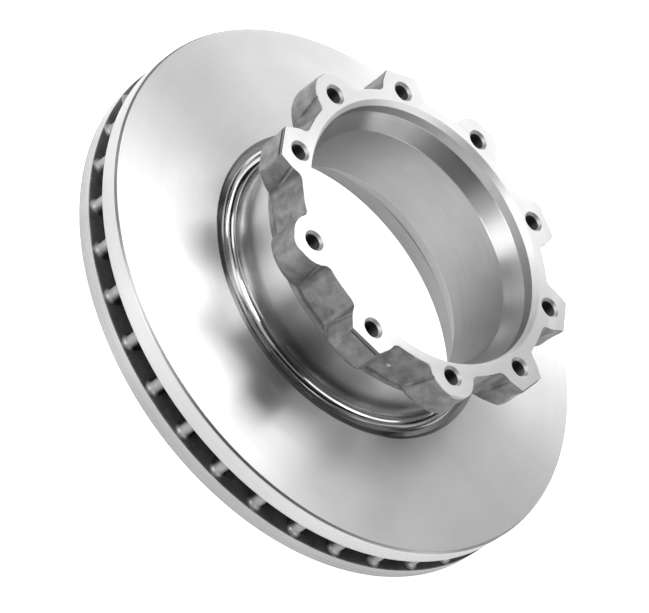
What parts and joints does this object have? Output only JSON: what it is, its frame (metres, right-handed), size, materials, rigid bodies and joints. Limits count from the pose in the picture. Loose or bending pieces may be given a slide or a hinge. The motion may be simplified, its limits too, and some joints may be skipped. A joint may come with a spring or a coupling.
{
  "type": "brake disc",
  "caption": "Ventilated cast-iron brake disc with a deep hat and a lobed bolting flange, friction faces turned smooth, radial vanes between the two plates",
  "frame": {"origin": "on the axis, in the plane of the rear friction face that the disc lies on", "axes": "+Z along the axis of rotation, from the rear friction face towards the bolting flange; +X through a bolt hole in a lobe with a flat"},
  "size_m": [0.4299, 0.43, 0.131],
  "materials": {
    "cast_iron": "grey cast iron, turned to satin on the faces, walls and bores, as cast on the lobes and between the plates"
  },
  "bodies": {
    "root": {"brake_disc": "cast_iron"}
  },
  "joints": []
}
